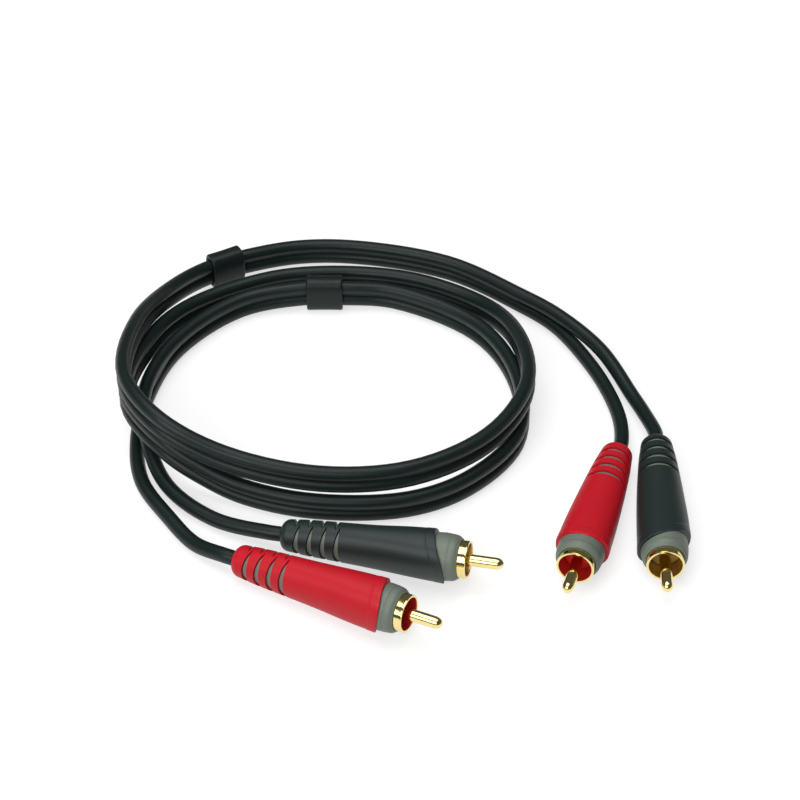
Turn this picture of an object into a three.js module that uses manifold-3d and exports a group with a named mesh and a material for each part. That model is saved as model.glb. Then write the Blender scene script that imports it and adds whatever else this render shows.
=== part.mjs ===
// Stereo audio cable: two cords joined edge to edge, laid in a loose coil of three turns,
// with a phono plug on each of the four ends and two dark sleeves round the pair.
// Units are mm and Z is up. The table is z = 0, and the origin is the middle of the footprint
// of the plugs and sleeves.
import * as THREE from "three";
import { mergeVertices } from "three/addons/utils/BufferGeometryUtils.js";
import Module from "manifold-3d";

const wasm = await Module();
wasm.setup();

// Driving dimensions.

const FIT = 0.3; // gap left between pieces that touch
const BOOT_SIDES = 16;
const ROUND_SIDES = 16; // sides of a turned piece that shows
const CONTACT_SIDES = 12;
const HIDDEN_SIDES = 8;

const cord = {
  radius: 2.1, // jacket of one channel
  sides: 8,
  pitch: 4.2, // centre to centre of the two channels
  seat: 16, // how far the jacket reaches into a plug
  spanSteps: 2, // straight steps between two route points
};

// The soft outer sleeve of a plug, flatter towards the slots than across them.
const boot = {
  length: 44.4,
  // share of the length, half towards the slots, half across
  outline: [
    [0.06, 4.35, 4.55],
    [0.16, 4.7, 5.15],
    [0.36, 5, 5.95],
    [0.6, 5.4, 6.65],
    [0.85, 6.2, 7.1],
    [0.94, 6.45, 7.15],
    [1, 6.6, 7.2],
  ],
  rearRound: 2.4, // rounding of the cord end
  bandLength: 2.8, // raised band at the mating end
  bandStep: 0.15,
  squareness: 2.3, // 2 is round
  roundLength: 18, // the sleeve is round up to here
  mouthRadius: 2.6, // opening for the cord
  mouthLength: 1.2,
  rearWall: 0.8, // towards the slots
  frontWall: 1.3,
};

// Strain relief: crescent slots on both sides of the boot, each with a straight edge in front.
const slot = {
  count: 4,
  front: 5.8, // straight edge of the slot nearest the cord, on the left side
  stagger: 1.2, // the right side's slots are this much nearer the cord
  pitch: 3.8,
  width: 1.6, // at the middle of the side
  tipWidth: 0.35,
  reach: 92, // degrees from the middle of the side to a tip
};

// The pieces inside the boot are placed from its mating end, and minus is towards the cord.

// The rigid inner housing: a barrel that follows the boot's bore, and the collar in front.
const housing = {
  clampBore: 2.4, // on the cord
  clampEnd: -23.4,
  barrelStart: -19.9,
  barrelBore: 3.1,
  noseBoreStart: -3.9,
  noseBore: 4,
  shellSeat: 0.8,
  collarStart: 0.3,
  collarRadius: 6.45,
  collarFrontRadius: 6.05,
  collarRound: 0.35,
  collarEnd: 4.9,
};

const shell = { start: 1.1, end: 7.4, radius: 5.05, bore: 4.35, lip: 0.25 };
const insulator = { start: -2.4, flange: 1.5, face: 2.4, hole: 1.9 };
const pin = { start: -7.9, cupDepth: 3, cupRadius: 1.2, radius: 1.6, nose: 1.7, end: 16.8 };
const core = { radius: 1, bareRadius: 0.6, bareLength: 2.2 };
const tag = { start: -17.4, end: -4.5, width: 2, thickness: 0.5, height: 2.1 };

// The sleeves round the pair.
const sleeve = { width: 6.9, height: 11.4, wall: 1, round: 0.5, squareness: 3 };

// Each plug: footprint of its cord end, the way its pin points in degrees from +X, its roll
// about its own axis, and its tilt up from the table.
const plugs = {
  front_black: { x: -40.4, y: -42.1, heading: -15.1, roll: 190, tilt: 4.3 },
  front_red: { x: -52.3, y: -51.5, heading: -27.1, roll: 180, tilt: 4.3 },
  right_black: { x: 63.8, y: -4.9, heading: -92.8, roll: -90, tilt: 3.3 },
  right_red: { x: 52.8, y: -8.5, heading: -107.5, roll: 90, tilt: 3.9 },
};

const sleeves = {
  back_sleeve: { x: -63, y: 74.7, heading: 29, length: 10.5 },
  inner_sleeve: { x: -31.8, y: 61.6, heading: 0, length: 11 },
};

// Route of the joined pair, from the right plugs' split to the front plugs' split.
// Each point is x, y and the lift of the pair off the table.
const pairRoute = [
  [28, 60, 0],
  [6.5, 76, 0],
  [-22, 84, 0],
  [-40.5, 83.5, 0.5],
  [-57, 77.5, 1.4],
  [-67.5, 72, 1.5],
  [-77, 58.5, 5],
  [-85.5, 31, 13.2],
  [-85.5, 0.5, 18.2],
  [-74, -17, 17.4],
  [-56.5, -24, 11.5],
  [-30.5, -29.5, 9.1],
  [-5.5, -27, 8.9],
  [15.5, -14, 9.1],
  [27, 6, 9.4],
  [27, 30, 6.6],
  [18, 53.5, 0.8],
  [-3, 67, 0.1],
  [-26, 71, 0],
  [-48, 68.5, 0],
  [-71.5, 55, 0.5],
  [-82.5, 34.5, 4.1],
  [-86, 3, 9.2],
  [-73.5, -15.5, 7.6],
  [-62.5, -21.5, 3.4],
  [-51.5, -26, 0.8],
  [-32, -31, 0.2],
  [-6.5, -30, 0],
  [10.5, -21.5, 0],
  [24.5, -3.5, 0],
  [25.5, 22, 0],
  [14.5, 45.5, 0],
  [-10.5, 61, 0.4],
  [-26.5, 61.5, 1.4],
  [-37.5, 61.5, 1.4],
  [-57, 57, 0.4],
  [-75, 38.5, 0],
  [-82.5, 16, 0],
];

// The free leads, from the split to the plug, as x, y and height of the cord's centre.
const leads = {
  right_black: [
    [39, 50, 6.3],
    [51, 35, 5],
    [59, 17, 2.7],
    [62, 8, 3],
  ],
  right_red: [
    [38.5, 49.5, 2.1],
    [47.5, 32.5, 2.1],
    [52.5, 18, 2.2],
    [54.5, 5.5, 3],
  ],
  front_black: [
    [-80.5, -3.5, 6],
    [-73.5, -21, 3],
    [-59.5, -34, 2.4],
  ],
  front_red: [
    [-83.5, -3, 2.1],
    [-80.5, -19, 2.1],
    [-72, -33, 2.1],
    [-64, -43.5, 2.4],
  ],
};

// Shapes.

const group = new THREE.Group();

function addPart(name, geometry, color, roughness, metalness = 0) {
  const material = new THREE.MeshStandardMaterial({ color, roughness, metalness });
  const mesh = new THREE.Mesh(geometry, material);
  mesh.name = name;
  return mesh;
}

// Joins rows of points into one closed solid: a loop of rows, or a run of rows with flat ends.
// Seen along the run, the points of a row go anticlockwise.
function stitch(rows, isLoop) {
  const count = rows[0].length;
  const positions = rows.flat().flatMap((point) => point.toArray());
  const index = [];
  const runs = isLoop ? rows.length : rows.length - 1;
  for (let row = 0; row < runs; row++) {
    const here = row * count;
    const next = ((row + 1) % rows.length) * count;
    for (let k = 0; k < count; k++) {
      const l = (k + 1) % count;
      index.push(here + k, here + l, next + l);
      index.push(here + k, next + l, next + k);
    }
  }
  if (!isLoop) {
    const last = (rows.length - 1) * count;
    for (let k = 1; k < count - 1; k++) {
      index.push(0, k + 1, k);
      index.push(last, last + k, last + k + 1);
    }
  }
  const geometry = new THREE.BufferGeometry();
  geometry.setAttribute("position", new THREE.Float32BufferAttribute(positions, 3));
  geometry.setIndex(index);
  return geometry;
}

// A superellipse across the X axis: half width along Y, half height along Z.
function ring(x, halfWidth, halfHeight, power, sides) {
  const points = [];
  for (let k = 0; k < sides; k++) {
    const angle = (2 * Math.PI * k) / sides;
    const c = Math.cos(angle);
    const s = Math.sin(angle);
    const reach = (Math.abs(c) ** power + Math.abs(s) ** power) ** (-1 / power);
    points.push(new THREE.Vector3(x, halfWidth * reach * c, halfHeight * reach * s));
  }
  return points;
}

// A turned piece about the plug's axis, from [x, radius] points with x from the mating end.
function turned(profile, sides = ROUND_SIDES) {
  const points = profile.map(([x, radius]) => new THREE.Vector2(radius, x));
  const geometry = new THREE.LatheGeometry(points, sides);
  return geometry.rotateZ(-Math.PI / 2).translate(boot.length, 0, 0);
}

function toSolid(geometry) {
  const bare = geometry.clone();
  bare.deleteAttribute("normal");
  bare.deleteAttribute("uv");
  const merged = mergeVertices(bare, 1e-4);
  return new wasm.Manifold(
    new wasm.Mesh({
      numProp: 3,
      vertProperties: merged.attributes.position.array,
      triVerts: new Uint32Array(merged.index.array),
    }),
  );
}

function toGeometry(solid) {
  const mesh = solid.getMesh();
  const geometry = new THREE.BufferGeometry();
  geometry.setAttribute("position", new THREE.BufferAttribute(mesh.vertProperties, 3));
  geometry.setIndex(new THREE.BufferAttribute(mesh.triVerts, 1));
  geometry.computeVertexNormals();
  return geometry;
}

// Boot.

// Half the boot's size at x: item 1 of the outline is towards the slots, item 2 across.
function bootHalf(x, item) {
  const share = x / boot.length;
  const last = boot.outline.length - 1;
  const found = boot.outline.findIndex(([at]) => at >= share);
  const next = Math.max(found < 0 ? last : found, 1);
  const [here, there] = [boot.outline[next - 1], boot.outline[next]];
  const part = Math.max((share - here[0]) / (there[0] - here[0]), 0);
  return THREE.MathUtils.lerp(here[item], there[item], part);
}

function bootPower(x) {
  const share = THREE.MathUtils.smoothstep(x, boot.roundLength, boot.length - boot.bandLength);
  return THREE.MathUtils.lerp(2, boot.squareness, share);
}

function bootBore(x) {
  const wall = THREE.MathUtils.lerp(boot.rearWall, boot.frontWall, x / boot.length);
  return bootHalf(x, 1) - wall;
}

function bootOutside(x, inset = 0) {
  return ring(x, bootHalf(x, 1) - inset, bootHalf(x, 2) - inset, bootPower(x), BOOT_SIDES);
}

// Steps along the outline that fall between two places.
function outlineSteps(from, to) {
  const steps = boot.outline.map(([share]) => share * boot.length);
  return steps.filter((x) => x > from && x < to);
}

function slotCutter(front, side) {
  const steps = 3;
  const rows = [];
  for (let k = 0; k <= steps; k++) {
    const share = (2 * k) / steps - 1;
    const angle = THREE.MathUtils.degToRad(share * slot.reach) + (side < 0 ? Math.PI : 0);
    const width = Math.abs(share) === 1 ? slot.tipWidth : slot.width;
    const at = (x, radius) =>
      new THREE.Vector3(x, radius * Math.cos(angle), radius * Math.sin(angle));
    const outer = bootHalf(front, 2) + 1.6;
    const inner = bootBore(front - slot.width) - 0.2;
    rows.push([
      at(front, outer),
      at(front - width, outer),
      at(front - width, inner),
      at(front, inner),
    ]);
  }
  return toSolid(stitch(rows, false));
}

// The boot's outside, from the rounded cord end to the band.
function bootRows() {
  const bandStart = boot.length - boot.bandLength;
  const round = boot.rearRound;
  return [
    bootOutside(0, round * 0.6),
    bootOutside(round * 0.15, round * 0.4),
    bootOutside(round * 0.5, round * 0.13),
    ...outlineSteps(round, bandStart - 1).map((x) => bootOutside(x)),
    bootOutside(bandStart),
    bootOutside(bandStart + boot.bandStep, -boot.bandStep),
    bootOutside(boot.length - 0.3, -boot.bandStep),
    bootOutside(boot.length, 0.15),
  ];
}

function bootGeometry() {
  const inside = (x, radius) => ring(x, radius, radius, 2, BOOT_SIDES);
  const mouth = boot.mouthLength + 0.3;
  const bore = outlineSteps(mouth, boot.length - 1).reverse();
  const rows = [
    ...bootRows(),
    inside(boot.length, bootBore(boot.length)),
    ...bore.map((x) => inside(x, bootBore(x))),
    inside(mouth, bootBore(mouth)),
    inside(boot.mouthLength, boot.mouthRadius),
    inside(0, boot.mouthRadius),
  ];
  let solid = toSolid(stitch(rows, true));
  for (let k = 0; k < slot.count; k++) {
    const front = slot.front + k * slot.pitch;
    solid = solid.subtract(slotCutter(front, 1));
    solid = solid.subtract(slotCutter(front - slot.stagger, -1));
  }
  return toGeometry(solid);
}

// Turned pieces of a plug, placed from the boot's mating end.

function housingGeometry() {
  const back = boot.mouthLength + 2 * FIT - boot.length;
  const outer = (x) => bootBore(x + boot.length) - FIT;
  const steps = outlineSteps(back + boot.length, boot.length - 1);
  return turned([
    [back, housing.clampBore],
    [back, outer(back)],
    ...steps.map((x) => [x - boot.length, outer(x - boot.length)]),
    [0, outer(0)],
    [housing.collarStart, outer(0)],
    [housing.collarStart, housing.collarRadius],
    [housing.collarEnd - housing.collarRound, housing.collarFrontRadius],
    [housing.collarEnd, housing.collarFrontRadius - housing.collarRound],
    [housing.collarEnd, shell.radius + FIT],
    [housing.shellSeat, shell.radius + FIT],
    [housing.shellSeat, housing.noseBore],
    [housing.noseBoreStart, housing.noseBore],
    [housing.noseBoreStart, housing.barrelBore],
    [housing.barrelStart, housing.barrelBore],
    [housing.clampEnd, housing.clampBore],
    [back, housing.clampBore],
  ]);
}

function shellGeometry() {
  return turned([
    [shell.start, shell.bore],
    [shell.start, shell.radius],
    [shell.end - shell.lip, shell.radius],
    [shell.end, shell.radius - shell.lip],
    [shell.end, shell.bore],
    [shell.start, shell.bore],
  ]);
}

function insulatorGeometry() {
  const neck = housing.noseBore - FIT;
  const flange = shell.bore - FIT;
  return turned([
    [insulator.start, insulator.hole],
    [insulator.start, neck],
    [insulator.flange, neck],
    [insulator.flange, flange],
    [insulator.face, flange],
    [insulator.face, insulator.hole],
    [insulator.start, insulator.hole],
  ], CONTACT_SIDES);
}

function pinGeometry() {
  return turned([
    [pin.start + pin.cupDepth, 0],
    [pin.start + pin.cupDepth, pin.cupRadius],
    [pin.start, pin.cupRadius],
    [pin.start, pin.radius],
    [pin.end - pin.nose, pin.radius],
    [pin.end - pin.nose * 0.5, pin.radius * 0.8],
    [pin.end - pin.nose * 0.15, pin.radius * 0.4],
    [pin.end, 0],
  ], CONTACT_SIDES);
}

function coreGeometry() {
  const back = cord.seat + FIT - boot.length;
  const shoulder = pin.start - FIT;
  return turned([
    [back, 0],
    [back, core.radius],
    [shoulder, core.radius],
    [shoulder, core.bareRadius],
    [shoulder + core.bareLength, core.bareRadius],
    [shoulder + core.bareLength, 0],
  ], HIDDEN_SIDES);
}

function tagGeometry() {
  const length = tag.end - tag.start;
  const geometry = new THREE.BoxGeometry(length, tag.width, tag.thickness);
  const middle = boot.length + (tag.start + tag.end) / 2;
  return geometry.translate(middle, 0, tag.height + tag.thickness / 2);
}

// Plugs. Each rests on the table on the underside of its boot.

const colors = { black: "#17191a", red: "#c41f33", grey: "#7d827a", gold: "#d8b25c" };

function plugFrame(plug) {
  const frame = new THREE.Group();
  frame.rotation.order = "ZYX";
  frame.rotation.z = THREE.MathUtils.degToRad(plug.heading);
  frame.rotation.y = -THREE.MathUtils.degToRad(plug.tilt);
  frame.rotation.x = THREE.MathUtils.degToRad(plug.roll);
  frame.updateMatrixWorld();
  const surface = bootRows().flat();
  const heights = surface.map((point) => point.applyMatrix4(frame.matrixWorld).z);
  frame.position.set(plug.x, plug.y, -Math.min(...heights));
  frame.updateMatrixWorld();
  return frame;
}

function addPlug(name) {
  const tint = name.endsWith("red") ? colors.red : colors.black;
  const plug = plugFrame(plugs[name]);
  plug.add(
    addPart(name + "_boot", bootGeometry(), tint, 0.6),
    addPart(name + "_housing", housingGeometry(), colors.grey, 0.5),
    addPart(name + "_shell", shellGeometry(), colors.gold, 0.25, 1),
    addPart(name + "_insulator", insulatorGeometry(), tint, 0.5),
    addPart(name + "_pin", pinGeometry(), colors.gold, 0.25, 1),
    addPart(name + "_core", coreGeometry(), "#e9e6dc", 0.6),
    addPart(name + "_ground_tag", tagGeometry(), colors.gold, 0.3, 1),
  );
  group.add(plug);
}

Object.keys(plugs).forEach(addPlug);

// Sleeves.

function sleeveGeometry(length) {
  const sides = 24;
  const oval = (x, inset) => {
    const halfWidth = sleeve.width / 2 - inset;
    const halfHeight = sleeve.height / 2 - inset;
    return ring(x, halfWidth, halfHeight, sleeve.squareness, sides);
  };
  const end = length / 2;
  return stitch(
    [
      oval(-end, sleeve.round),
      oval(-end + sleeve.round, 0),
      oval(end - sleeve.round, 0),
      oval(end, sleeve.round),
      oval(end, sleeve.wall),
      oval(-end, sleeve.wall),
    ],
    true,
  );
}

for (const [name, place] of Object.entries(sleeves)) {
  const mesh = addPart(name, sleeveGeometry(place.length), "#1b1e1f", 0.5);
  mesh.position.set(place.x, place.y, sleeve.height / 2);
  mesh.rotation.z = THREE.MathUtils.degToRad(place.heading);
  group.add(mesh);
}

// Cords.

// A route whose steps fall on its points, with the section kept upright.
class UprightRoute extends THREE.CatmullRomCurve3 {
  getSpacedPoints(divisions) {
    return this.getPoints(divisions);
  }

  computeFrenetFrames(segments) {
    const tangents = [];
    const normals = [];
    const binormals = [];
    for (let k = 0; k <= segments; k++) {
      const tangent = this.getTangent(k / segments);
      const normal = new THREE.Vector3(-tangent.y, tangent.x, 0).normalize();
      tangents.push(tangent);
      normals.push(normal);
      binormals.push(new THREE.Vector3().crossVectors(tangent, normal));
    }
    return { tangents, normals, binormals };
  }
}

function plugPoint(name, x) {
  return new THREE.Vector3(x, 0, 0).applyMatrix4(plugFrame(plugs[name]).matrixWorld);
}

function leadPoints(name) {
  const free = leads[name].map((point) => new THREE.Vector3(...point));
  return [...free, plugPoint(name, -4), plugPoint(name, 0), plugPoint(name, cord.seat)];
}

function addCord(name, start, finish, height) {
  const pair = pairRoute.map(([x, y, lift]) => new THREE.Vector3(x, y, lift + height));
  const points = [...leadPoints(start).reverse(), ...pair, ...leadPoints(finish)];
  const outline = new THREE.Shape();
  for (let k = 0; k < cord.sides; k++) {
    const angle = (2 * Math.PI * (k + 0.5)) / cord.sides;
    const x = cord.radius * Math.cos(angle);
    const y = cord.radius * Math.sin(angle);
    if (k === 0) outline.moveTo(x, y);
    else outline.lineTo(x, y);
  }
  const geometry = new THREE.ExtrudeGeometry(outline, {
    steps: (points.length - 1) * cord.spanSteps,
    extrudePath: new UprightRoute(points),
  });
  group.add(addPart(name, geometry, colors.black, 0.55));
}

addCord("red_channel_jacket", "right_red", "front_red", cord.radius);
addCord("black_channel_jacket", "right_black", "front_black", cord.radius + cord.pitch);

export default group;
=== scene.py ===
# Stereo audio cable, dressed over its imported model.
import math

import bmesh
import bpy
from mathutils import Euler, Matrix, Vector


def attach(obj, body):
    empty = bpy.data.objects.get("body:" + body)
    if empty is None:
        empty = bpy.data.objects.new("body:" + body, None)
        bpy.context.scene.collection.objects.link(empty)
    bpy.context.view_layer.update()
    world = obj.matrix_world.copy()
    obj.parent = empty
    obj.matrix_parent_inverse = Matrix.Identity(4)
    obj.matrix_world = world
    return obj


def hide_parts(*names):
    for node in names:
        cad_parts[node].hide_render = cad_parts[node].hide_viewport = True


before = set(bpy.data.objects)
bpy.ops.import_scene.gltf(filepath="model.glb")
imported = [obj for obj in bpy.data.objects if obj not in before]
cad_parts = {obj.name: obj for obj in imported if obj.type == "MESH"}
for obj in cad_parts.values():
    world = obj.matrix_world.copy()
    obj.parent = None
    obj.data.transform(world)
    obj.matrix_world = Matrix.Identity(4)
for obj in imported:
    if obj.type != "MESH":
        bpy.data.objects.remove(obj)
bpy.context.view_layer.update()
scene = bpy.context.scene
mm = 0.001
print("frame loaded:", len(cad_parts), "solids")

# camera, level with the photograph's horizon
cameraView = {
    "place": (-0.0087, -0.4371, 0.3985),
    "tilt": 48.8,  # degrees from straight down
    "lens": 92.97,
    "sensor": 36,
    "clip": (0.01, 20),
}

cameraData = bpy.data.cameras.new("camera")
cameraData.lens = cameraView["lens"]
cameraData.sensor_width = cameraView["sensor"]
cameraData.clip_start, cameraData.clip_end = cameraView["clip"]
camera = bpy.data.objects.new("camera", cameraData)
camera.location = cameraView["place"]
camera.rotation_euler = (math.radians(cameraView["tilt"]), 0, 0)
scene.collection.objects.link(camera)
scene.camera = camera
scene.view_settings.view_transform = "Standard"
print("camera set")


def addMesh(name, mesh, smooth=True):
    piece = bpy.data.objects.new(name, mesh)
    scene.collection.objects.link(piece)
    if smooth:
        mesh.polygons.foreach_set("use_smooth", [True] * len(mesh.polygons))
    return piece


def mathNode(tree, operation, *values):
    # each value is a number or the socket that gives it
    node = tree.nodes.new("ShaderNodeMath")
    node.operation = operation
    for socket, value in zip(node.inputs, values):
        if isinstance(value, (int, float)):
            socket.default_value = value
        else:
            tree.links.new(value, socket)
    return node.outputs[0]


def frange(start, end, steps):
    # evenly spaced values, both ends included
    return [start + (end - start) * k / steps for k in range(steps + 1)]


# plugs: cord end on the table, height of the axis there, heading, roll and tilt in degrees
plugPlaces = {
    "front_black": {"at": (-40.4, -42.1, 4.65), "heading": -15.1, "roll": 190, "tilt": 4.3},
    "front_red": {"at": (-52.3, -51.5, 4.74), "heading": -27.1, "roll": 180, "tilt": 4.3},
    "right_black": {"at": (63.8, -4.9, 4.29), "heading": -92.8, "roll": -90, "tilt": 3.3},
    "right_red": {"at": (52.8, -8.5, 4.21), "heading": -107.5, "roll": 90, "tilt": 3.9},
}


def plugMatrix(name):
    place = plugPlaces[name]
    roll, tilt, heading = (math.radians(place[key]) for key in ("roll", "tilt", "heading"))
    turn = Euler((roll, -tilt, heading), "XYZ").to_matrix().to_4x4()
    return Matrix.Translation(Vector(place["at"]) * mm) @ turn


# cords: the route is the same as the solids', point by point
cordShape = {
    "radius": 2.1,
    "pitch": 4.2,
    "seat": 16,  # reach of the jacket into a plug
    "samples": 7,  # steps between two route points
    "sides": 20,
    "webRadius": 1.0,
    "webSides": 12,
    "straight": 4,  # length of cord in line with its plug
}

pairRoute = [
    (28, 60, 0),
    (6.5, 76, 0),
    (-22, 84, 0),
    (-40.5, 83.5, 0.5),
    (-57, 77.5, 1.4),
    (-67.5, 72, 1.5),
    (-77, 58.5, 5),
    (-85.5, 31, 13.2),
    (-85.5, 0.5, 18.2),
    (-74, -17, 17.4),
    (-56.5, -24, 11.5),
    (-30.5, -29.5, 9.1),
    (-5.5, -27, 8.9),
    (15.5, -14, 9.1),
    (27, 6, 9.4),
    (27, 30, 6.6),
    (18, 53.5, 0.8),
    (-3, 67, 0.1),
    (-26, 71, 0),
    (-48, 68.5, 0),
    (-71.5, 55, 0.5),
    (-82.5, 34.5, 4.1),
    (-86, 3, 9.2),
    (-73.5, -15.5, 7.6),
    (-62.5, -21.5, 3.4),
    (-51.5, -26, 0.8),
    (-32, -31, 0.2),
    (-6.5, -30, 0),
    (10.5, -21.5, 0),
    (24.5, -3.5, 0),
    (25.5, 22, 0),
    (14.5, 45.5, 0),
    (-10.5, 61, 0.4),
    (-26.5, 61.5, 1.4),
    (-37.5, 61.5, 1.4),
    (-57, 57, 0.4),
    (-75, 38.5, 0),
    (-82.5, 16, 0),
]

leads = {
    "right_black": [(39, 50, 6.3), (51, 35, 5), (59, 17, 2.7), (62, 8, 3)],
    "right_red": [(38.5, 49.5, 2.1), (47.5, 32.5, 2.1), (52.5, 18, 2.2), (54.5, 5.5, 3)],
    "front_black": [(-80.5, -3.5, 6), (-73.5, -21, 3), (-59.5, -34, 2.4)],
    "front_red": [(-83.5, -3, 2.1), (-80.5, -19, 2.1), (-72, -33, 2.1), (-64, -43.5, 2.4)],
}


def onPlug(name, x):
    return plugMatrix(name) @ Vector((x * mm, 0, 0))


def leadPoints(name):
    free = [Vector(point) * mm for point in leads[name]]
    return free + [onPlug(name, x) for x in (-cordShape["straight"], 0, cordShape["seat"])]


def smoothRoute(points, samples):
    # centripetal spline through every point
    route = []
    for k in range(len(points) - 1):
        b, c = points[k], points[k + 1]
        a = points[k - 1] if k else 2 * b - c
        d = points[k + 2] if k + 2 < len(points) else 2 * c - b
        ab, bc, cd = (math.sqrt((q - p).length) for p, q in ((a, b), (b, c), (c, d)))
        leave = ((b - a) / ab - (c - a) / (ab + bc) + (c - b) / bc) * bc
        reach = ((c - b) / bc - (d - b) / (bc + cd) + (d - c) / cd) * bc
        for step in range(samples):
            t = step / samples
            route.append(
                b
                + leave * t
                + (3 * (c - b) - 2 * leave - reach) * t * t
                + (2 * (b - c) + leave + reach) * t * t * t
            )
    route.append(points[-1].copy())
    return route


def routeCurve(name, route):
    data = bpy.data.curves.new(name, "CURVE")
    data.dimensions = "3D"
    data.twist_mode = "Z_UP"
    spline = data.splines.new("POLY")
    spline.points.add(len(route) - 1)
    for point, place in zip(spline.points, route):
        point.co = (*place, 1)
    curve = bpy.data.objects.new(name, data)
    scene.collection.objects.link(curve)
    return curve


def jacketTree():
    tree = bpy.data.node_groups.new("jacket along a route", "GeometryNodeTree")
    face = tree.interface
    face.new_socket("Route", in_out="INPUT", socket_type="NodeSocketGeometry")
    face.new_socket("Jacket radius", in_out="INPUT", socket_type="NodeSocketFloat")
    face.new_socket("Sides", in_out="INPUT", socket_type="NodeSocketInt")
    face.new_socket("Finish", in_out="INPUT", socket_type="NodeSocketMaterial")
    face.new_socket("Jacket", in_out="OUTPUT", socket_type="NodeSocketGeometry")
    link = tree.links.new
    given = tree.nodes.new("NodeGroupInput")
    result = tree.nodes.new("NodeGroupOutput")
    alongValue = tree.nodes.new("GeometryNodeSplineParameter")
    along = tree.nodes.new("GeometryNodeCaptureAttribute")
    along.capture_items.new("FLOAT", "Along")
    link(given.outputs["Route"], along.inputs["Geometry"])
    link(alongValue.outputs["Length"], along.inputs[1])
    profile = tree.nodes.new("GeometryNodeCurvePrimitiveCircle")
    link(given.outputs["Sides"], profile.inputs["Resolution"])
    link(given.outputs["Jacket radius"], profile.inputs["Radius"])
    around = tree.nodes.new("GeometryNodeCaptureAttribute")
    around.capture_items.new("FLOAT", "Around")
    link(profile.outputs["Curve"], around.inputs["Geometry"])
    link(alongValue.outputs["Length"], around.inputs[1])
    sweep = tree.nodes.new("GeometryNodeCurveToMesh")
    sweep.inputs["Fill Caps"].default_value = True
    link(along.outputs["Geometry"], sweep.inputs["Curve"])
    link(around.outputs["Geometry"], sweep.inputs["Profile Curve"])
    both = tree.nodes.new("ShaderNodeCombineXYZ")
    link(along.outputs[1], both.inputs["X"])
    link(around.outputs[1], both.inputs["Y"])
    store = tree.nodes.new("GeometryNodeStoreNamedAttribute")
    store.data_type = "FLOAT2"
    store.domain = "CORNER"
    store.inputs["Name"].default_value = "jacketUV"
    link(sweep.outputs["Mesh"], store.inputs["Geometry"])
    link(both.outputs["Vector"], store.inputs["Value"])
    shade = tree.nodes.new("GeometryNodeSetShadeSmooth")
    link(store.outputs["Geometry"], shade.inputs["Geometry"])
    real = tree.nodes.new("GeometryNodeRealizeInstances")
    link(shade.outputs["Geometry"], real.inputs["Geometry"])
    paint = tree.nodes.new("GeometryNodeSetMaterial")
    link(real.outputs["Geometry"], paint.inputs["Geometry"])
    link(given.outputs["Finish"], paint.inputs["Material"])
    link(paint.outputs["Geometry"], result.inputs["Jacket"])
    return tree


def runTree(piece, tree, settings, name):
    modifier = piece.modifiers.new("nodes", "NODES")
    modifier.node_group = tree
    sockets = {item.name: item.identifier for item in tree.interface.items_tree if item.in_out == "INPUT"}
    for key, value in settings.items():
        modifier[sockets[key]] = value
    bpy.context.view_layer.update()
    graph = bpy.context.evaluated_depsgraph_get()
    mesh = bpy.data.meshes.new_from_object(piece.evaluated_get(graph), depsgraph=graph)
    mesh.name = name
    bpy.data.objects.remove(piece)
    made = bpy.data.objects.new(name, mesh)
    scene.collection.objects.link(made)
    return made


# finishes
def startMaterial(name, color, roughness, metallic=0.0):
    material = bpy.data.materials.new(name)
    material.use_nodes = True
    tree = material.node_tree
    shader = tree.nodes["Principled BSDF"]
    shader.inputs["Base Color"].default_value = (*color, 1)
    shader.inputs["Roughness"].default_value = roughness
    shader.inputs["Metallic"].default_value = metallic
    return material, tree, shader


def ramp(tree, source, low, high):
    # noise seldom leaves its middle values, so those are spread over the whole range
    node = tree.nodes.new("ShaderNodeMapRange")
    node.inputs["From Min"].default_value = 0.3
    node.inputs["From Max"].default_value = 0.7
    node.inputs["To Min"].default_value = low
    node.inputs["To Max"].default_value = high
    tree.links.new(source, node.inputs["Value"])
    return node.outputs["Result"]


def noise(tree, vector, scale, detail=3.0, roughness=0.5):
    node = tree.nodes.new("ShaderNodeTexNoise")
    node.inputs["Scale"].default_value = scale
    node.inputs["Detail"].default_value = detail
    node.inputs["Roughness"].default_value = roughness
    tree.links.new(vector, node.inputs["Vector"])
    return node.outputs["Fac"]


def mixColors(tree, factor, first, second):
    node = tree.nodes.new("ShaderNodeMix")
    node.data_type = "RGBA"
    node.inputs["A"].default_value = (*first, 1)
    node.inputs["B"].default_value = (*second, 1)
    tree.links.new(factor, node.inputs["Factor"])
    return node.outputs["Result"]


def addBump(tree, shader, height, strength, distance):
    node = tree.nodes.new("ShaderNodeBump")
    node.inputs["Strength"].default_value = strength
    node.inputs["Distance"].default_value = distance
    tree.links.new(height, node.inputs["Height"])
    tree.links.new(node.outputs["Normal"], shader.inputs["Normal"])


jacketFinish = {
    "color": (0.009, 0.0165, 0.015),
    "dark": (0.0066, 0.0148, 0.0132),
    "light": (0.0098, 0.0198, 0.018),
    "clouds": 160,
    "roughness": (0.33, 0.45),
    "plainRoughness": 0.38,
    "shine": 0.28,
    "streaks": (60, 900, 1),  # fine lines drawn out along the jacket
    "streakBump": (0.25, 0.00004),  # strength and distance
}


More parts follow.
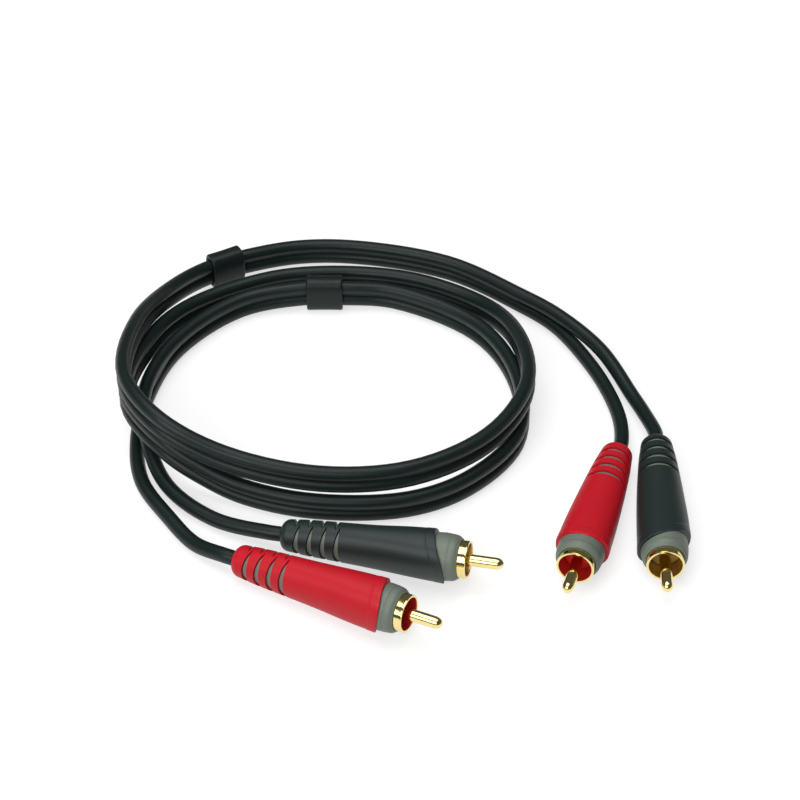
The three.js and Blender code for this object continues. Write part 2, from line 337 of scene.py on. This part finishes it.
def jacketMaterial():
    finish = jacketFinish
    material, tree, shader = startMaterial("dark satin jacket", finish["color"], finish["plainRoughness"])
    shader.inputs["Specular IOR Level"].default_value = finish["shine"]
    uv = tree.nodes.new("ShaderNodeUVMap")
    uv.uv_map = "jacketUV"
    drawn = tree.nodes.new("ShaderNodeMapping")
    drawn.inputs["Scale"].default_value = finish["streaks"]
    tree.links.new(uv.outputs["UV"], drawn.inputs["Vector"])
    streaks = noise(tree, drawn.outputs["Vector"], 1.0)
    place = tree.nodes.new("ShaderNodeTexCoord")
    cloudy = noise(tree, place.outputs["Object"], finish["clouds"])
    tint = mixColors(tree, cloudy, finish["dark"], finish["light"])
    tree.links.new(tint, shader.inputs["Base Color"])
    tree.links.new(ramp(tree, streaks, *finish["roughness"]), shader.inputs["Roughness"])
    addBump(tree, shader, streaks, *finish["streakBump"])
    return material


jacket = jacketMaterial()
jacketNodes = jacketTree()


def addJacket(name, start, finish, height):
    pair = [Vector((x, y, lift + height)) * mm for x, y, lift in pairRoute]
    points = leadPoints(start)[::-1] + pair + leadPoints(finish)
    route = smoothRoute(points, cordShape["samples"])
    for point in route:
        point.z = max(point.z, cordShape["radius"] * mm)  # it lies on the table, not in it
    settings = {
        "Jacket radius": cordShape["radius"] * mm,
        "Sides": cordShape["sides"],
        "Finish": jacket,
    }
    piece = runTree(routeCurve(name + "_route", route), jacketNodes, settings, name)
    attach(piece, "root")
    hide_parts(name + "_jacket")


# the two cords are joined edge to edge, so a thin web fills the groove between them
def addWeb():
    between = cordShape["radius"] + cordShape["pitch"] / 2
    points = [Vector((x, y, lift + between)) * mm for x, y, lift in pairRoute]
    route = smoothRoute(points, cordShape["samples"])
    settings = {
        "Jacket radius": cordShape["webRadius"] * mm,
        "Sides": cordShape["webSides"],
        "Finish": jacket,
    }
    web = runTree(routeCurve("web_route", route), jacketNodes, settings, "cord_web")
    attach(web, "root")
    return web


web = addWeb()
addJacket("red_channel", "right_red", "front_red", cordShape["radius"])
addJacket("black_channel", "right_black", "front_black", cordShape["radius"] + cordShape["pitch"])

# boots: the soft outer sleeve of each plug. It sits a little askew on its collar, so its mating
# edge is pulled back all round, reaches forward on one slotted side and leans across, in mm
bootSeat = {
    "front_black": {"pull": -1.8, "reach": 3.9, "side": 1, "lean": 0.2},
    "front_red": {"pull": -1.4, "reach": 2.8, "side": 1, "lean": -1.3},
    "right_black": {"pull": -1.2, "reach": 2.4, "side": -1, "lean": -2.6},
    "right_red": {"pull": -1.3, "reach": 2.2, "side": 1, "lean": 0.35},
}

bootShape = {
    "length": 44.4,
    # share of the length, half towards the slots, half across
    "outline": [
        (0.06, 4.35, 4.55),
        (0.16, 4.7, 5.15),
        (0.36, 5, 5.95),
        (0.6, 5.4, 6.65),
        (0.85, 6.2, 7.1),
        (0.94, 6.45, 7.15),
        (1, 6.6, 7.2),
    ],
    "rearRound": 2.4,
    "rearStart": 78,  # angle on the round at the cord's mouth
    "rearFlare": 0.3,  # share of the first slope that is kept behind the first row
    "bandLength": 2.8,
    "bandStep": 0.08,
    "squareness": 2.3,  # 2 is round
    "roundLength": 18.0,
    "mouthRadius": 2.3,
    "mouthLength": 1.2,
    "mouthEdge": 0.2,
    "rearWall": 0.8,
    "frontWall": 1.3,
    "sides": 72,
    "seatSpan": (0.5, 0.97),  # share of the length where a lean of the mating edge starts and is full
}

slotShape = {
    "count": 4,
    "front": 5.8,  # straight edge of the slot nearest the cord
    "stagger": 1.2,
    "pitch": 3.8,
    "width": 1.6,
    "tipWidth": 0.3,
    "fullness": 0.75,  # below 1 keeps the width further towards the tips
    "reach": 92,  # degrees to each side
    "steps": 28,
    "padDepth": 0.6,  # the grey housing shows this far under the surface
    "padGap": 0.12,
    "padNarrowing": 12,  # degrees less reach for each mm of gap
    "cutRadii": (2.9, 9.5),
    "padRadii": (2.95, 9.0),
    "crease": 38,
}


def eased(low, high, x):
    t = min(max((x - low) / (high - low), 0), 1)
    return t * t * (3 - 2 * t)


def bootHalf(x, item):
    rows = bootShape["outline"]
    places = [row[0] * bootShape["length"] for row in rows]
    sizes = [row[item] for row in rows]
    slopes = [(b - a) / (q - p) for p, q, a, b in zip(places, places[1:], sizes, sizes[1:])]
    if x <= places[0]:
        return sizes[0] + slopes[0] * (x - places[0]) * bootShape["rearFlare"]
    k = next(k for k in range(len(places) - 1) if x <= places[k + 1] or k == len(places) - 2)
    span = places[k + 1] - places[k]
    t = (x - places[k]) / span
    leave = (slopes[max(k - 1, 0)] + slopes[k]) / 2 * span
    reach = (slopes[k] + slopes[min(k + 1, len(slopes) - 1)]) / 2 * span
    rise = sizes[k + 1] - sizes[k]
    return sizes[k] + leave * t + (3 * rise - 2 * leave - reach) * t**2 + (leave + reach - 2 * rise) * t**3


def bootBore(x):
    share = x / bootShape["length"]
    return bootHalf(x, 1) - bootShape["rearWall"] - share * (bootShape["frontWall"] - bootShape["rearWall"])


def ovalRing(x, a, b, power, sides):
    ring = []
    for k in range(sides):
        c, s = math.cos(2 * math.pi * k / sides), math.sin(2 * math.pi * k / sides)
        reach = (abs(c) ** power + abs(s) ** power) ** (-1 / power)
        ring.append(Vector((x, a * reach * c, b * reach * s)) * mm)
    return ring


def bootRing(x, inset):
    share = eased(bootShape["roundLength"], bootShape["length"] - bootShape["bandLength"], x)
    power = 2 + share * (bootShape["squareness"] - 2)
    return ovalRing(x, bootHalf(x, 1) - inset, bootHalf(x, 2) - inset, power, bootShape["sides"])


def stitchRings(name, rings, closed):
    # joins rings into one closed surface: a loop of rings, or a run with capped ends
    mesh = bmesh.new()
    rows = [[mesh.verts.new(point) for point in ring] for ring in rings]
    count = len(rows[0])
    pairs = list(zip(rows, rows[1:] + rows[:1] if closed else rows[1:]))
    for here, there in pairs:
        for k in range(count):
            n = (k + 1) % count
            mesh.faces.new((here[k], here[n], there[n], there[k]))
    if not closed:
        mesh.faces.new(rows[0][::-1])
        mesh.faces.new(rows[-1])
    bmesh.ops.recalc_face_normals(mesh, faces=mesh.faces)
    data = bpy.data.meshes.new(name)
    mesh.to_mesh(data)
    mesh.free()
    return data


def bootOuterRings(extra=0.0):
    length, bandStart = bootShape["length"], bootShape["length"] - bootShape["bandLength"]
    bend = bootShape["rearRound"]
    rings = []
    for angle in frange(bootShape["rearStart"], 6, 9):
        u = math.radians(angle)
        x = bend * (1 - math.sin(u))
        rings.append(bootRing(x + extra, bend * (1 - math.cos(u)) + extra))
    rings += [bootRing(x, extra) for x in frange(bend, bandStart - 0.1, 40)]
    step = bootShape["bandStep"]
    band = extra - step
    rings += [bootRing(bandStart + 0.05, extra - step * 0.3), bootRing(bandStart + 0.2, band)]
    rings += [bootRing(x, band) for x in frange(bandStart + 0.4, length - 0.45, 5)]
    rings += [bootRing(length - 0.15 - extra, band + 0.1), bootRing(length - extra, band + 0.35)]
    return rings


def seatRing(ring, seat):
    length = bootShape["length"]
    start, full = (length * share for share in bootShape["seatSpan"])
    towards, across = bootHalf(length, 1) * mm, bootHalf(length, 2) * mm
    for point in ring:
        forward = seat["reach"] * (0.5 + 0.5 * seat["side"] * point.y / towards) ** 2
        shift = seat["pull"] + forward + seat["lean"] * point.z / across
        point.x += shift * eased(start, full, point.x / mm) * mm
    return ring


def bootMesh(seat):
    length, mouth, hole = bootShape["length"], bootShape["mouthLength"], bootShape["mouthRadius"]
    rearEnd = bootShape["rearRound"] * (1 - math.sin(math.radians(bootShape["rearStart"])))
    inside = [(length, bootBore(length) + 0.15)]
    inside += [(x, bootBore(x)) for x in frange(length - 0.2, mouth + 0.4, 16)]
    inside += [(mouth, hole), (0.25, hole), (rearEnd, hole + bootShape["mouthEdge"])]
    rings = bootOuterRings() + [ovalRing(x, r, r, 2, bootShape["sides"]) for x, r in inside]
    return stitchRings("boot_shape", [seatRing(ring, seat) for ring in rings], True)


def crescentMesh(gap, inner, outer):
    # one slot seen from the side: straight in front, curved behind, thin at the tips
    steps = slotShape["steps"]
    rings = []
    for k in range(steps + 1):
        share = 2 * k / steps - 1
        angle = math.radians(share * (slotShape["reach"] - gap * slotShape["padNarrowing"]))
        fill = math.cos(share * math.pi / 2) ** slotShape["fullness"] if abs(share) < 1 else 0
        width = max(slotShape["width"] * fill, slotShape["tipWidth"]) - 2 * gap
        corners = [(-gap, outer), (-gap - width, outer), (-gap - width, inner), (-gap, inner)]
        rings.append([Vector((x, r * math.cos(angle), r * math.sin(angle))) * mm for x, r in corners])
    return stitchRings("crescent", rings, False)


def slotTree(name, operation):
    tree = bpy.data.node_groups.new(name, "GeometryNodeTree")
    face = tree.interface
    face.new_socket("Body", in_out="INPUT", socket_type="NodeSocketGeometry")
    face.new_socket("Crescent", in_out="INPUT", socket_type="NodeSocketObject")
    face.new_socket("Slots a side", in_out="INPUT", socket_type="NodeSocketInt")
    for key in ("First slot", "Slot pitch", "Other side shift", "Crease angle"):
        face.new_socket(key, in_out="INPUT", socket_type="NodeSocketFloat")
    face.new_socket("Finish", in_out="INPUT", socket_type="NodeSocketMaterial")
    face.new_socket("Result", in_out="OUTPUT", socket_type="NodeSocketGeometry")
    link = tree.links.new
    given = tree.nodes.new("NodeGroupInput")
    result = tree.nodes.new("NodeGroupOutput")
    shape = tree.nodes.new("GeometryNodeObjectInfo")
    link(given.outputs["Crescent"], shape.inputs["Object"])
    step = tree.nodes.new("ShaderNodeCombineXYZ")
    link(given.outputs["Slot pitch"], step.inputs["X"])
    both = tree.nodes.new("GeometryNodeJoinGeometry")
    for side in (0, 1):
        shift = mathNode(tree, "MULTIPLY", given.outputs["Other side shift"], -side)
        start = tree.nodes.new("ShaderNodeCombineXYZ")
        link(mathNode(tree, "ADD", given.outputs["First slot"], shift), start.inputs["X"])
        row = tree.nodes.new("GeometryNodeMeshLine")
        link(given.outputs["Slots a side"], row.inputs["Count"])
        link(start.outputs["Vector"], row.inputs["Start Location"])
        link(step.outputs["Vector"], row.inputs["Offset"])
        copies = tree.nodes.new("GeometryNodeInstanceOnPoints")
        link(row.outputs["Mesh"], copies.inputs["Points"])
        link(shape.outputs["Geometry"], copies.inputs["Instance"])
        copies.inputs["Rotation"].default_value = (side * math.pi, 0, 0)
        link(copies.outputs["Instances"], both.inputs["Geometry"])
    real = tree.nodes.new("GeometryNodeRealizeInstances")
    link(both.outputs["Geometry"], real.inputs["Geometry"])
    cut = tree.nodes.new("GeometryNodeMeshBoolean")
    cut.operation = operation
    cut.solver = "EXACT"
    if operation == "DIFFERENCE":
        link(given.outputs["Body"], cut.inputs["Mesh 1"])
    else:
        link(given.outputs["Body"], cut.inputs["Mesh 2"])
    link(real.outputs["Geometry"], cut.inputs["Mesh 2"])
    smooth = tree.nodes.new("GeometryNodeSetShadeSmooth")
    link(cut.outputs["Mesh"], smooth.inputs["Geometry"])
    bend = tree.nodes.new("GeometryNodeInputMeshEdgeAngle")
    soft = tree.nodes.new("FunctionNodeCompare")
    soft.data_type = "FLOAT"
    soft.operation = "LESS_THAN"
    link(bend.outputs["Unsigned Angle"], soft.inputs[0])
    link(given.outputs["Crease angle"], soft.inputs[1])
    crease = tree.nodes.new("GeometryNodeSetShadeSmooth")
    crease.domain = "EDGE"
    link(smooth.outputs["Geometry"], crease.inputs["Geometry"])
    link(soft.outputs["Result"], crease.inputs["Shade Smooth"])
    plain = tree.nodes.new("GeometryNodeRealizeInstances")
    link(crease.outputs["Geometry"], plain.inputs["Geometry"])
    paint = tree.nodes.new("GeometryNodeSetMaterial")
    link(plain.outputs["Geometry"], paint.inputs["Geometry"])
    link(given.outputs["Finish"], paint.inputs["Material"])
    link(paint.outputs["Geometry"], result.inputs["Result"])
    return tree


def objectMaterial(name, first, second, scale, roughness, bump=0.0, grain=2500, metallic=0.0, shine=0.5):
    # a mottled finish with a fine grain, both in the piece's own space
    material, tree, shader = startMaterial(name, first, roughness[0], metallic)
    shader.inputs["Specular IOR Level"].default_value = shine
    place = tree.nodes.new("ShaderNodeTexCoord")
    cloudy = noise(tree, place.outputs["Object"], scale)
    fine = noise(tree, place.outputs["Object"], grain, 4.0, 0.6)
    tree.links.new(mixColors(tree, cloudy, first, second), shader.inputs["Base Color"])
    tree.links.new(ramp(tree, fine, *roughness), shader.inputs["Roughness"])
    if bump:
        addBump(tree, shader, fine, bump, 0.00003)
    return material


blackBoot = objectMaterial(
    "black soft sleeve", (0.0095, 0.0215, 0.0205), (0.0135, 0.027, 0.026), 130, (0.42, 0.52), 0.35
)
redBoot = objectMaterial(
    "red soft sleeve", (0.60, 0.004, 0.014), (0.67, 0.006, 0.02), 130, (0.42, 0.54), 0.3, shine=0.36
)
greyHousing = objectMaterial(
    "grey moulded housing", (0.17, 0.205, 0.165), (0.19, 0.225, 0.185), 110, (0.42, 0.55), 0.25
)
goldPlate = objectMaterial(
    "gold plating", (0.83, 0.68, 0.27), (0.89, 0.75, 0.34), 200, (0.07, 0.13), grain=1800, metallic=1.0
)
# rougher gold for the shell's wall inside; its darker, browner colour is painted shade
goldInsidePaintedShade = objectMaterial(
    "gold wall inside with painted shade", (0.68, 0.5, 0.2), (0.76, 0.57, 0.25), 200, (0.3, 0.42), 0.05, 1800, 1.0
)
# the red plugs' wall inside: half-metal red, a painted reflection of the red insulator
redPaintedReflectionWall = objectMaterial(
    "gold wall inside with painted red reflection", (0.66, 0.03, 0.035), (0.74, 0.06, 0.045), 200, (0.3, 0.42), 0.05, 1800, 0.5
)
redInsulator = objectMaterial(
    "red insulator", (0.62, 0.014, 0.02), (0.7, 0.02, 0.028), 300, (0.35, 0.45), 0.1
)
blackInsulator = objectMaterial(
    "brown insulator", (0.36, 0.24, 0.075), (0.43, 0.29, 0.1), 300, (0.35, 0.45), 0.1
)
sleevePlastic = objectMaterial(
    "shrunk dark sleeve",
    (0.0065, 0.0135, 0.0125),
    (0.0095, 0.018, 0.0165),
    220,
    (0.34, 0.46),
    0.2,
    grain=900,
    shine=0.28,
)
whiteCore = objectMaterial(
    "cream core insulation", (0.74, 0.71, 0.62), (0.82, 0.79, 0.7), 300, (0.45, 0.6), 0.15
)


def finishPiece(piece, matrix, node):
    piece.data.transform(matrix)
    piece.data.update()
    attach(piece, "root")
    if node:
        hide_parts(node)
    return piece


def slotted(name, body, operation, crescent, finish):
    carrier = bpy.data.objects.new(name + "_body", body)
    scene.collection.objects.link(carrier)
    settings = {
        "Crescent": crescent,
        "Slots a side": slotShape["count"],
        "First slot": slotShape["front"] * mm,
        "Slot pitch": slotShape["pitch"] * mm,
        "Other side shift": slotShape["stagger"] * mm,
        "Crease angle": math.radians(slotShape["crease"]),
        "Finish": finish,
    }
    return runTree(carrier, slotTrees[operation], settings, name)


slotTrees = {
    "DIFFERENCE": slotTree("slots cut in a boot", "DIFFERENCE"),
    "INTERSECT": slotTree("grey pads in the slots", "INTERSECT"),
}
cutter = bpy.data.objects.new("slot_cutter", crescentMesh(0, *slotShape["cutRadii"]))
padShape = bpy.data.objects.new("pad_shape", crescentMesh(slotShape["padGap"], *slotShape["padRadii"]))

# turned pieces, as (x from the boot's mating end, radius)
turnedShapes = {
    "housing": [
        # stem inside the boot
        (-42.6, 2.35), (-42.6, 3.1), (-36, 3.35), (-28, 3.75), (-18, 3.95), (-7, 4.5), (-3.6, 4.9),
        # collar, with a fine groove and a small ring next to the gold
        (-3.5, 6.05), (-1.5, 6.25), (0.6, 6.4), (2.4, 6.3), (2.5, 6.2), (2.65, 6.2), (2.75, 6.26),
        (3.7, 6.14), (4.1, 6.04), (4.4, 5.9), (4.62, 5.72), (4.74, 5.6), (4.84, 5.5), (5.1, 5.42),
        (5.2, 5.3), (5.2, 5.12),
        # seats of the shell and the insulator, and the bore for the core
        (0.8, 5.1), (0.8, 4.0), (-3.9, 4.0), (-3.9, 3.1), (-19.9, 3.1), (-23.4, 2.35),
    ],
    "shell": [
        (1.1, 4.35), (1.1, 5.05), (6.95, 5.05), (7.15, 5.08), (7.32, 5.03), (7.4, 4.9), (7.4, 4.6),
        (7.34, 4.48), (7.2, 4.42), (6.9, 4.38),
    ],
    "insulator": [
        (-2.4, 1.9), (-2.4, 3.7), (1.45, 3.7), (1.5, 4.2), (2.25, 4.2), (2.38, 4.1), (2.4, 3.95),
        (2.4, 2.3), (2.3, 2.05), (2.4, 1.9),
    ],
    "pin": [
        (-4.9, 0), (-4.9, 1.2), (-7.9, 1.2), (-7.9, 1.6), (14.8, 1.6), (15.25, 1.57), (15.7, 1.46),
        (16.1, 1.26), (16.4, 1.0), (16.63, 0.68), (16.76, 0.34), (16.8, 0),
    ],
}

turning = {
    "sides": 64,
    "crease": 40,
    "shellInside": 4.45,  # faces of the shell closer to the axis are its wall inside
}


def turnedMesh(name):
    # spun about the plug's axis, with the poles joined into one point each
    mesh = bmesh.new()
    sides = turning["sides"]
    angles = [2 * math.pi * k / sides for k in range(sides)]
    rows = []
    for x, radius in turnedShapes[name]:
        place, r = (bootShape["length"] + x) * mm, radius * mm
        around = angles if radius else angles[:1]
        rows.append([mesh.verts.new((place, r * math.cos(a), r * math.sin(a))) for a in around])
    closed = turnedShapes[name][0][1] > 0
    for here, there in zip(rows, rows[1:] + rows[:1] if closed else rows[1:]):
        for k in range(sides):
            n = (k + 1) % sides
            if len(here) == 1:
                mesh.faces.new((here[0], there[n], there[k]))
            elif len(there) == 1:
                mesh.faces.new((here[k], here[n], there[0]))
            else:
                mesh.faces.new((here[k], here[n], there[n], there[k]))
    bmesh.ops.recalc_face_normals(mesh, faces=mesh.faces)
    data = bpy.data.meshes.new(name)
    mesh.to_mesh(data)
    mesh.free()
    data.polygons.foreach_set("use_smooth", [True] * len(data.polygons))
    data.set_sharp_from_angle(angle=math.radians(turning["crease"]))
    if name == "shell":
        # the wall inside is duller than the polished outside; its colour is painted shade, and on red plugs
        # a painted red reflection
        for face in data.polygons:
            radius = math.hypot(face.center.y, face.center.z) / mm
            face.material_index = 1 if radius < turning["shellInside"] else 0
    return data


def addTurned(plug, part, slot, *finishes):
    piece = addMesh(plug + "_" + part + "_turned", turnedMesh(part))
    for finish in finishes:
        piece.data.materials.append(finish)
    return finishPiece(piece, plugMatrix(plug), plug + "_" + part)


plugFinishes = {
    "red": {"boot": redBoot, "wall": redPaintedReflectionWall, "insulator": redInsulator},
    "black": {"boot": blackBoot, "wall": goldInsidePaintedShade, "insulator": blackInsulator},
}


def addPlug(name):
    color = name.split("_")[1]
    finish = plugFinishes[color]
    matrix = plugMatrix(name)
    boot = slotted(name + "_sleeve", bootMesh(bootSeat[name]), "DIFFERENCE", cutter, finish["boot"])
    finishPiece(boot, matrix, name + "_boot")
    inner = stitchRings("pad_limit", bootOuterRings(slotShape["padDepth"]), False)
    pads = slotted(name + "_slot_pads", inner, "INTERSECT", padShape, greyHousing)
    finishPiece(pads, matrix, None)
    addTurned(name, "housing", "grey_housing", greyHousing)
    addTurned(name, "shell", "gold_contact", goldPlate, finish["wall"])
    addTurned(name, "insulator", color + "_insulator", finish["insulator"])
    addTurned(name, "pin", "gold_contact", goldPlate)
    print(name, "made:", len(boot.data.polygons), "sleeve faces and", len(pads.data.polygons), "pad faces")


for plug in plugPlaces:
    addPlug(plug)

# sleeves round the pair
sleeveShape = {
    "width": 6.9,
    "height": 11.4,
    "wall": 1.0,
    "round": 0.55,
    "squareness": 2.8,
    "waist": 0.09,  # it has shrunk a little between its ends
    "lip": 0.1,
    "sides": 64,
}

sleevePlaces = {
    "back_sleeve": {"at": (-63, 74.7), "heading": 29, "length": 10.5},
    "inner_sleeve": {"at": (-31.8, 61.6), "heading": 0, "length": 11},
}


def addSleeve(name):
    place = sleevePlaces[name]
    half, bend = place["length"] / 2, sleeveShape["round"]
    a, b = sleeveShape["width"] / 2, sleeveShape["height"] / 2

    def ring(x, inset, insetAbove):
        power, sides = sleeveShape["squareness"], sleeveShape["sides"]
        return ovalRing(x, a - inset, b - insetAbove, power, sides)

    turns = [math.radians(angle) for angle in frange(0, 90, 6)]
    edge = [(bend * (1 - math.cos(u)), bend * (1 - math.sin(u))) for u in turns]
    rings = [ring(-half + x, inset, inset) for x, inset in edge]
    for share in frange(-0.85, 0.85, 12):
        inset = sleeveShape["waist"] * (1 - share * share)
        rings.append(ring(share * (half - bend), inset, inset * 0.5))
    rings += [ring(half - x, inset, inset) for x, inset in reversed(edge)]
    wall, lip = sleeveShape["wall"], sleeveShape["lip"]
    rings += [ring(x, wall, wall) for x in (half - lip, -half + lip)]
    piece = addMesh(name + "_shrunk", stitchRings(name, rings, True))
    piece.data.materials.append(sleevePlastic)
    x, y = place["at"]
    turn = Matrix.Rotation(math.radians(place["heading"]), 4, "Z")
    return finishPiece(piece, Matrix.Translation(Vector((x, y, b)) * mm) @ turn, name)


for sleeve in sleevePlaces:
    addSleeve(sleeve)
print("sleeves made")

# the solids that stay get the finish of their slot
hidden = {"core": whiteCore, "ground_tag": goldPlate}
for plug in plugPlaces:
    for part, finish in hidden.items():
        solid = bpy.data.objects[plug + "_" + part]
        solid.data.materials.clear()
        solid.data.materials.append(finish)

# floor and light
studio = {
    "floorReach": 6,
    "floorDrop": 0.0002,
    "floorColor": 0.5,
    "floorGlow": 0.66,  # seen by the camera and in the metal, so the floor reads as white
    "worldStrength": 0.1,
}

far, under = studio["floorReach"], -studio["floorDrop"]
floorMesh = bpy.data.meshes.new("floor")
corners = [(-far, -far, under), (far, -far, under), (far, far, under), (-far, far, under)]
floorMesh.from_pydata(corners, [], [(0, 1, 2, 3)])
floor = addMesh("floor", floorMesh, smooth=False)

floorMaterial = bpy.data.materials.new("white sweep")
floorMaterial.use_nodes = True
floorTree = floorMaterial.node_tree
floorTree.nodes.clear()
floorOut = floorTree.nodes.new("ShaderNodeOutputMaterial")
matte = floorTree.nodes.new("ShaderNodeBsdfDiffuse")
matte.inputs["Color"].default_value = (studio["floorColor"],) * 3 + (1,)
glow = floorTree.nodes.new("ShaderNodeEmission")
rays = floorTree.nodes.new("ShaderNodeLightPath").outputs
metalSees = mathNode(floorTree, "MAXIMUM", rays["Is Glossy Ray"], rays["Is Transmission Ray"])
seen = mathNode(floorTree, "MAXIMUM", rays["Is Camera Ray"], metalSees)
floorTree.links.new(mathNode(floorTree, "MULTIPLY", seen, studio["floorGlow"]), glow.inputs["Strength"])
together = floorTree.nodes.new("ShaderNodeAddShader")
floorTree.links.new(matte.outputs[0], together.inputs[0])
floorTree.links.new(glow.outputs[0], together.inputs[1])
floorTree.links.new(together.outputs[0], floorOut.inputs["Surface"])
floorMesh.materials.append(floorMaterial)

world = bpy.data.worlds.new("studio")
world.use_nodes = True
scene.world = world
sky = world.node_tree.nodes["Background"]
sky.inputs["Color"].default_value = (1, 1, 1, 1)
sky.inputs["Strength"].default_value = studio["worldStrength"]

lamps = {
    "overhead": {"place": (-0.1, 0.08, 1.0), "size": (0.9, 0.9), "power": 6.7},
    "left": {"place": (-0.6, -0.9, 0.75), "size": (1.2, 0.7), "power": 9.0},
}
for name, lamp in lamps.items():
    data = bpy.data.lights.new(name, "AREA")
    data.shape = "RECTANGLE"
    data.size, data.size_y = lamp["size"]
    data.energy = lamp["power"]
    light = bpy.data.objects.new(name, data)
    light.location = lamp["place"]
    light.rotation_euler = (-Vector(lamp["place"])).to_track_quat("-Z", "Y").to_euler()
    scene.collection.objects.link(light)
print("floor and lamps set")
